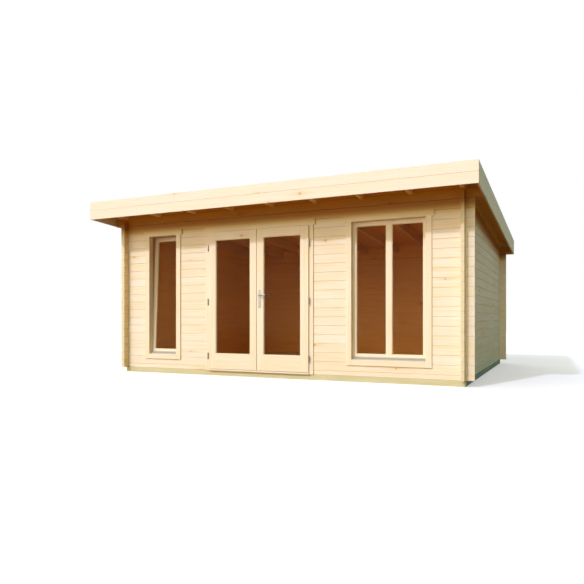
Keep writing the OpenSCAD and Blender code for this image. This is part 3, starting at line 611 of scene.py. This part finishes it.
# The gable boards take a darker, greener copy of the fascia colour: painted shade
gable_shade_tint = (0.86, 0.94, 0.86)
fascia_pale, fascia_dark = (0.965, 0.825, 0.695), (0.955, 0.79, 0.615)
fascia_pine = timber("fascia_pine", fascia_pale, fascia_dark, knots=0.05, streaks=0.40)
gable_pine_shaded = timber("gable_pine_shaded", tinted(fascia_pale, gable_shade_tint),
                    tinted(fascia_dark, gable_shade_tint), knots=0.05, streaks=0.40)


def screw(place, toward, radius=0.0040):
    """A screw head let into a surface, with a recess for the driver, facing a direction."""
    place, toward = Vector(place), Vector(toward)
    turn = toward.to_track_quat("Z", "Y").to_euler()
    bpy.ops.object.select_all(action="DESELECT")
    bpy.ops.mesh.primitive_cylinder_add(vertices=12, radius=radius, depth=screw_t,
                                        location=place - toward * screw_seat, rotation=turn)
    head = bpy.context.object
    bpy.ops.object.transform_apply(location=True, rotation=True, scale=True)
    pick(head, "FACE", lambda middle, normal: normal.dot(toward) > 0.9)
    bpy.ops.mesh.inset(thickness=radius * 0.55)
    bpy.ops.mesh.extrude_region_move(TRANSFORM_OT_translate={"value": toward * -screw_recess})
    bpy.ops.object.mode_set(mode="OBJECT")
    return head


def fascia_boards(low, high, along, fall=0.0):
    """The two boards of one side of the roof, whose far ends lie lower by the fall."""
    foot = low.z + fall
    boards = [plank((low.x, low.y, high.z - upper_h), high, along, ease=0.0020, steps=3),
              plank((low.x, low.y, foot), (high.x, high.y, high.z - upper_h - joint_h), along,
                    ease=0.0020, steps=3)]
    if fall:
        middle = (low.y + high.y) / 2
        for board in boards:
            pick(board, "VERT", lambda point: point.y > middle)
            bpy.ops.transform.translate(value=(0, 0, -fall))
            bpy.ops.object.mode_set(mode="OBJECT")
    return boards


def screw_heights(foot, top):
    """The heights of four screws, two near the edges of either board."""
    joint = top - upper_h
    return [top - edge_in, joint + edge_in, joint - joint_in, foot + edge_in]


fall = run_y * math.tan(pitch)
rafter_step = (2 * half_w - log_t) / (rafter_count - 1)
rafter_x = [-half_w + log_t / 2 + i * rafter_step for i in range(rafter_count)]
screws = []

# The boards lie back from the outline by a hair, so that the screws stay inside it
for side, out in (("front", -1), ("back", 1)):
    low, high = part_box(side + "_fascia")
    proud = Vector((0, screw_proud, 0))
    low, high = (low + proud, high) if out < 0 else (low, high - proud)
    build(side + "_boards", fascia_boards(low, high, X), fascia_pine, "house", "fascia_pine",
          side + "_fascia")
    face = low.y if out < 0 else high.y
    heights = screw_heights(low.z, high.z)
    first = screw((rafter_x[0], face, heights[0]), (0, out, 0))
    moves = [(x - rafter_x[0], 0, z - heights[0]) for x in rafter_x for z in heights]
    screws += copies(first, moves)
for side, out in (("left", -1), ("right", 1)):
    low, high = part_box(side + "_fascia")
    proud = Vector((screw_proud, 0, 0))
    low, high = (low + proud, high) if out < 0 else (low, high - proud)
    build(side + "_boards", fascia_boards(low, high, Y, fall), gable_pine_shaded, "house", "fascia_pine",
          side + "_fascia")
    face = low.x if out < 0 else high.x
    heights = screw_heights(low.z + fall, high.z)
    first = screw((face, low.y + gable_in, heights[0]), (out, 0, 0))
    step = (high.y - low.y - 2 * gable_in) / gable_steps
    moves = [(0, i * step, z - heights[0] - (gable_in + i * step) * math.tan(pitch))
             for i in range(gable_steps + 1) for z in heights]
    screws += copies(first, moves)
build("fascia_screws", screws, zinc, "house", "hinge_zinc")


# ------------------------------------------------------------------ door frame
# Planed and glued pine: two jambs with a stop for the leaves, a head and a threshold. The
# frame stands in the wall on the base log and carries the hinges.

trim_pale, trim_dark = (0.965, 0.865, 0.685), (0.945, 0.78, 0.55)
dress(timber("jamb_pine", trim_pale, trim_dark, Z, Y, seed=21.3, knots=0.04), "door_jambs")
dress(timber("head_pine", trim_pale, trim_dark, X, Y, seed=22.9, knots=0.04),
      "door_head", "door_threshold")


# ------------------------------------------------------------------ casings
# Flat planed boards round the door and the windows, outside and inside. The heads run past
# the uprights, and all are screwed to the frames so that the logs can settle behind them.

sash_lap, frame_t = 0.012, 0.037
casing_w, door_casing_w, ear, casing_edge = 0.073, 0.054, 0.025, {"ease": 0.0025, "steps": 3}
casing_screw_r, casing_screw_in, casing_screw_gaps = 0.0035, 0.05, 5
clear_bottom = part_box("casing_sills")[1].z
opening_bottom = clear_bottom - frame_t
door_clear = (jambs_low.x + frame_t, jambs_high.x - frame_t)
narrow_clear, wide_clear = [(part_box(node)[0].x + sash_lap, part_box(node)[1].x - sash_lap)
                            for node in ("narrow_sash", "wide_sash")]
trim = timber("planed_trim", trim_pale, trim_dark, knots=0.05)
# The outside casings take the painted shade under the eaves and in the nooks
outer_trim = timber("outer_trim", trim_pale, trim_dark, knots=0.05, room=room,
                    shade_heights=eave_shade_heights)

side_low, side_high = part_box("casing_sides")
head_low, head_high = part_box("casing_heads")
sill_low, sill_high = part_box("casing_sills")
sides, heads, sills, screws = [], [], [], []
for left, right, width, foot in ((*door_clear, door_casing_w, side_low.z),
                                 (*narrow_clear, casing_w, sill_low.z),
                                 (*wide_clear, casing_w, sill_low.z)):
    for x in (left - width, right):
        sides.append(plank((x, side_low.y, foot), (x + width, side_high.y, side_high.z), Z,
                           **casing_edge))
        first = screw((x + width / 2, side_low.y, foot + casing_screw_in), (0, -1, 0),
                      casing_screw_r)
        step = (side_high.z - foot - 2 * casing_screw_in) / casing_screw_gaps
        screws += copies(first, [(0, 0, i * step) for i in range(casing_screw_gaps + 1)])
    heads.append(plank((left - width - ear, head_low.y, head_low.z),
                       (right + width + ear, head_high.y, head_high.z), X, **casing_edge))
for left, right in (narrow_clear, wide_clear):
    sills.append(plank((left, sill_low.y, sill_low.z), (right, sill_high.y, sill_high.z), X,
                       **casing_edge))
build("outer_uprights", sides, outer_trim, "house", "joinery_pine", "casing_sides")
build("outer_heads", heads, outer_trim, "house", "joinery_pine", "casing_heads")
build("outer_sills", sills, outer_trim, "house", "joinery_pine", "casing_sills")

inner_low, inner_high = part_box("inner_casing_sides")
rail_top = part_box("inner_casing_rails")[1].z
sides, rails = [], []
for left, right, foot in ((*door_clear, inner_low.z), (*narrow_clear, opening_bottom),
                          (*wide_clear, opening_bottom)):
    for x in (left - casing_w, right + frame_t):
        sides.append(plank((x, inner_low.y, foot),
                           (x + casing_w - frame_t, inner_high.y, inner_high.z), Z,
                           **casing_edge))
    rails.append(plank((left - casing_w, inner_low.y, inner_high.z),
                       (right + casing_w, inner_high.y, rail_top), X, **casing_edge))
    if foot == opening_bottom:
        rails.append(plank((left - casing_w, inner_low.y, opening_bottom - casing_w),
                           (right + casing_w, inner_high.y, opening_bottom), X, **casing_edge))
build("inner_uprights", sides, trim, "house", "joinery_pine", "inner_casing_sides")
build("inner_rails", rails, trim, "house", "joinery_pine", "inner_casing_rails")
build("casing_screws", screws, zinc, "house", "hinge_zinc")


# ------------------------------------------------------------------ windows
# Each has a planed pine frame in the wall and a glued sash of stiles and rails, hung at its
# foot. The narrow one leans back in its airing position, and the wide one has a post.

sash_stile, sash_top, sash_bottom, sash_post = 0.037, 0.048, 0.064, 0.065
narrow_lean = math.radians(2.8)
dress(timber("window_jamb_pine", trim_pale, trim_dark, Z, X, seed=31.7, knots=0.05),
      "window_jambs")
dress(timber("window_rail_pine", trim_pale, trim_dark, X, Z, seed=33.1, knots=0.05),
      "window_frame_rails")
dress(timber("bead_pine", trim_pale, trim_dark, Z, Y, seed=35.5, knots=0.0),
      "window_beads", "left_leaf_beads", "right_leaf_beads")


def framework(low, high, stiles, rails, posts):
    """Stiles, rails between them and posts between those, glued into one frame.

    The stiles' widths are given from left to right and the rails' heights from below. Rails
    lie a hair behind the stiles' faces, and posts behind the rails'.
    """
    left, right = low.x + stiles[0], high.x - stiles[1]
    bottom, top = low.z + rails[0], high.z - rails[1]
    back = 0.0002
    edge = {"ease": 0.0018, "steps": 2}
    pieces = [plank(low, (left, high.y, high.z), Z, **edge),
              plank((right, low.y, low.z), high, Z, **edge),
              plank((left, low.y + back, low.z), (right, high.y - back, bottom), X, **edge),
              plank((left, low.y + back, top), (right, high.y - back, high.z), X, **edge)]
    pieces += [plank((x - sash_post / 2, low.y + 2 * back, bottom),
                     (x + sash_post / 2, high.y - 2 * back, top), Z, **edge) for x in posts]
    return pieces


rails = (sash_lap + sash_bottom, sash_lap + sash_top)
stiles = (sash_lap + sash_stile, sash_lap + sash_stile)
sash_low, sash_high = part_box("wide_sash")
pieces = framework(sash_low, sash_high, stiles, rails, [sum(wide_clear) / 2])
build("wide_sash_frame", pieces, trim, "house", "joinery_pine", "wide_sash")
low = Vector((narrow_clear[0] - sash_lap, sash_low.y, sash_low.z))
high = Vector((narrow_clear[1] + sash_lap, sash_high.y, sash_high.z))
pieces = framework(low, high, stiles, rails, [])
narrow = build("narrow_sash_frame", pieces, trim, "house", "joinery_pine", "narrow_sash")
tip_back(narrow, low, narrow_lean)


# ------------------------------------------------------------------ panes
# Clear float glass, 4 mm thick, held between the beads on either side. The sun shines
# through it and throws no shadow but a faint tint.

glass, root, shader = start_material("float_glass")
for name, value in (("Base Color", (0.97, 0.985, 0.975, 1)), ("Roughness", 0.0),
                    ("Transmission Weight", 1.0), ("IOR", 1.08)):
    shader.inputs[name].default_value = value
clear = root.node("BsdfTransparent", None, {"Color": (0.90, 0.93, 0.91, 1)})
shadow = root.node("LightPath", out=1)
output = next(n for n in glass.node_tree.nodes if n.type == "OUTPUT_MATERIAL")
mixed = root.node("MixShader", None, {0: shadow, 2: clear})
glass.node_tree.links.new(shader.outputs[0], mixed.socket.node.inputs[1])
glass.node_tree.links.new(mixed.socket, output.inputs["Surface"])
dress(glass, "window_panes", "left_leaf_pane", "right_leaf_pane")


# ------------------------------------------------------------------ rain rails and sash fittings
# Mill-finish aluminium extrusions that throw the rain off below each sash, and the handles,
# hinges and stay of zinc-plated steel on its room side.

aluminium, root, shader = start_material("mill_aluminium")
shader.inputs["Metallic"].default_value = 1.0
x, y, z = root.node("TexCoord", out=3).parts()
drawn = root.noise(root.vector(x * 3, y * 900, z * 900), 1.0, 3.0)
feed(shader, Base_Color=drawn.ramp(0.3, 0.7).blend((0.40, 0.365, 0.315), (0.54, 0.50, 0.44)),
     Roughness=drawn * 0.2 + 0.62, Normal=root.bump(drawn, 0.1, 0.0002))
dress(aluminium, "drip_rails")
dress(zinc, "window_fittings")


# ------------------------------------------------------------------ door leaves
# Two glazed leaves of glued pine, each of two stiles and two rails. They stand a little
# proud of the casings, and plates for the bolts and the lock are let into their meeting edges.

hinge_stile, meeting_stile = 0.109, 0.094
top_rail, bottom_rail = 0.110, 0.207
plate_w, plate_t, bolt_l, bolt_end = 0.018, 0.003, 0.200, 0.016
lock_face_l, lock_face_up = 0.220, 0.961
for side, edge in (("left", 1), ("right", -1)):
    low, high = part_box(side + "_leaf_stiles")
    widths = (hinge_stile, meeting_stile)[::edge]
    pieces = framework(low, high, widths, (bottom_rail, top_rail), [])
    meeting = high.x if edge > 0 else low.x
    stile = pieces[1] if edge > 0 else pieces[0]
    middle = (low.y + high.y) / 2
    plates = [(low.z + lock_face_up - lock_face_l / 2, lock_face_l)]
    if side == "left":
        plates += [(low.z + bolt_end, bolt_l), (high.z - bolt_end - bolt_l, bolt_l)]
    for foot, length in plates:
        x = sorted((meeting - edge * plate_t, meeting + edge * overcut))
        cut_away(stile, (x[0], middle - plate_w / 2, foot),
                 (x[1], middle + plate_w / 2, foot + length))
    build(side + "_leaf_frame", pieces, trim, side + "_leaf", "joinery_pine",
          side + "_leaf_stiles", side + "_leaf_rails")


# ------------------------------------------------------------------ hinges
# Three lift-off hinges a leaf, of zinc-plated steel: the lower half is fixed to the jamb and
# carries the pin, and the upper half to the leaf. Turned caps close both ends.

dress(zinc, "frame_hinges", "left_leaf_hinges", "right_leaf_hinges", "leaf_bolts")
knuckle_r, hinge_h, hinge_step, hinge_count = 0.008, 0.085, 0.751, 3
cap_r, cap_t, cap_ease = knuckle_r * 0.92, 0.005, 0.003
hinges_low, hinges_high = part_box("frame_hinges")
for side, x in (("left", hinges_low.x + knuckle_r), ("right", hinges_high.x - knuckle_r)):
    y = hinges_low.y + knuckle_r
    for place, body, out in (("foot", "house", -1), ("top", side + "_leaf", 1)):
        z = hinges_low.z if out < 0 else hinges_low.z + hinge_h
        bpy.ops.object.select_all(action="DESELECT")
        bpy.ops.mesh.primitive_cylinder_add(vertices=24, radius=cap_r, depth=cap_t,
                                            location=(x, y, z + out * cap_t / 2))
        cap = bpy.context.object
        cap.name = "cap"
        bpy.ops.object.transform_apply(location=True, rotation=True, scale=True)
        pick(cap, "EDGE", lambda a, b: min((a.z - z) * out, (b.z - z) * out) > cap_t * 0.8)
        bpy.ops.mesh.bevel(offset=cap_ease, segments=3, affect="EDGES")
        bpy.ops.object.mode_set(mode="OBJECT")
        caps = copies(cap, [(0, 0, i * hinge_step) for i in range(hinge_count)])
        build(side + "_hinge_" + place, caps, zinc, body, "hinge_zinc")


# ------------------------------------------------------------------ lock
# Long plates of brushed stainless steel on both faces of the right leaf, with a black
# nylon collar round the spindle, and levers bent from round bar. A cylinder takes the key.

steel, root, shader = start_material("brushed_steel")
shader.inputs["Metallic"].default_value = 1.0
x, y, z = root.node("TexCoord", out=3).parts()
brushed = root.noise(root.vector(x * 2600, y * 2600, z * 60), 1.0, 2.0)
feed(shader, Base_Color=brushed.ramp(0.3, 0.7).blend((0.28, 0.278, 0.262), (0.41, 0.406, 0.38)),
     Roughness=brushed * 0.2 + 0.24, Normal=root.bump(brushed, 0.08, 0.0001))
dress(steel, "lock_plates", "door_lever")

lock_plate_w, lock_plate_t, plate_over, plate_h = 0.040, 0.004, 0.074, 0.247
plate_screw_r, plate_screw_in = 0.0032, 0.016
collar_r, collar_out, collar_ease = 0.0125, 0.007, 0.0025
key_drop, barrel_out = 0.092, 0.003
keyway_x, keyway_y, keyway_z, keyway_ease = 0.0011, 0.0004, 0.0045, 0.0006
_, lock_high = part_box("lock_plates")
leaf_low, leaf_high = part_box("right_leaf_stiles")
lock_x, lock_z = lock_high.x - lock_plate_w / 2, lock_high.z - plate_over
collars, screws, keyways = [], [], []
for face, out in ((leaf_low.y - lock_plate_t, -1), (leaf_high.y + lock_plate_t, 1)):
    bpy.ops.object.select_all(action="DESELECT")
    bpy.ops.mesh.primitive_cylinder_add(vertices=40, radius=collar_r, depth=collar_out,
                                        location=(lock_x, face + out * collar_out / 2, lock_z),
                                        rotation=(math.radians(90), 0, 0))
    collar = bpy.context.object
    bpy.ops.object.transform_apply(location=True, rotation=True, scale=True)
    rim = collar_out * 0.8
    pick(collar, "EDGE", lambda a, b: min((a.y - face) * out, (b.y - face) * out) > rim)
    bpy.ops.mesh.bevel(offset=collar_ease, segments=3, affect="EDGES")
    bpy.ops.object.mode_set(mode="OBJECT")
    collars.append(collar)
    for z in (lock_high.z - plate_screw_in, lock_high.z - plate_h + plate_screw_in):
        screws.append(screw((lock_x, face, z), (0, out, 0), plate_screw_r))
    front, key_z = face + out * barrel_out, lock_z - key_drop
    keyway = block("keyway", (lock_x - keyway_x, front - keyway_y, key_z - keyway_z),
                   (lock_x + keyway_x, front + keyway_y, key_z + keyway_z))
    pick(keyway, "EDGE", lambda a, b: abs(b.y - a.y) > keyway_y)
    bpy.ops.mesh.bevel(offset=keyway_ease, segments=2, affect="EDGES")
    bpy.ops.object.mode_set(mode="OBJECT")
    keyways.append(keyway)

nylon, root, shader = start_material("black_nylon")
cloud = root.noise(root.node("TexCoord", out=3), 300.0)
feed(shader, Base_Color=cloud.blend((0.01, 0.01, 0.01), (0.04, 0.035, 0.03)),
     Roughness=cloud * 0.2 + 0.5)
build("lock_collars", collars, nylon, "right_leaf", "lock_steel")
build("lock_screws", screws, zinc, "right_leaf", "hinge_zinc")
build("lock_keyways", keyways, nylon, "right_leaf", "lock_steel")


# ------------------------------------------------------------------ floor, light and camera
# A plain pale floor under a soft sky, with a sun high at the front left, a broad soft lamp
# beside it and a weaker one behind. The camera, metal and glass see a white sky, and the
# floor, pale to the camera, throws only a dim warm light back on the house.

ground_size, ground_drop = 60, 0.0005
bpy.ops.object.select_all(action="DESELECT")
bpy.ops.mesh.primitive_plane_add(size=ground_size, location=(0, 0, -ground_drop))
ground = bpy.context.object
ground.name = "ground"
made, root, shader = start_material("ground")
seen = root.node("LightPath", out=0)
feed(shader, Base_Color=seen.blend((0.25, 0.107, 0.025), (0.88, 0.83, 0.86)),
     Emission_Color=seen.blend((0, 0, 0), (0.34, 0.30, 0.31)))
shader.inputs["Emission Strength"].default_value = 1.0
shader.inputs["Roughness"].default_value = 0.95
ground.data.materials.append(made)

world = bpy.data.worlds.new("studio")
world.use_nodes = True
bpy.context.scene.world = world
sky = Shade(world.node_tree)
seen, glossy, through = [sky.node("LightPath", out=i) for i in (0, 3, 6)]
plain = sky.math("MAXIMUM", seen, sky.math("MAXIMUM", glossy, through))
back = next(n for n in world.node_tree.nodes if n.type == "BACKGROUND")
feed(back, Color=plain.blend((0.185, 0.352, 0.322), (1, 1, 1)))

for name, place, strength, spread, colour in (
        ("sun", (-0.33, -1.0, 0.788), 1.70, 2, (0.71, 0.77, 1.0)),
        ("soft_lamp", (-0.45, -1.0, 0.35), 2.60, 80, (1.0, 0.855, 0.655)),
        ("back_lamp", (-0.60, 1.0, 0.45), 1.00, 60, (1.0, 0.93, 0.84))):
    bpy.ops.object.light_add(type="SUN", location=Vector(place) * 10)
    lamp = bpy.context.object
    lamp.name = name
    lamp.rotation_euler = Vector(place).to_track_quat("Z", "Y").to_euler()
    lamp.data.energy = strength
    lamp.data.angle = math.radians(spread)
    lamp.data.color = colour

bpy.ops.object.camera_add(location=(3.4575, -9.1814, 0.7730),
                          rotation=(math.radians(90), 0, 0.4537))
camera = bpy.context.object
camera.data.lens = 36.99
camera.data.shift_x, camera.data.shift_y = 0.0377, 0.0477
bpy.context.scene.camera = camera
bpy.context.scene.view_settings.view_transform = "Standard"
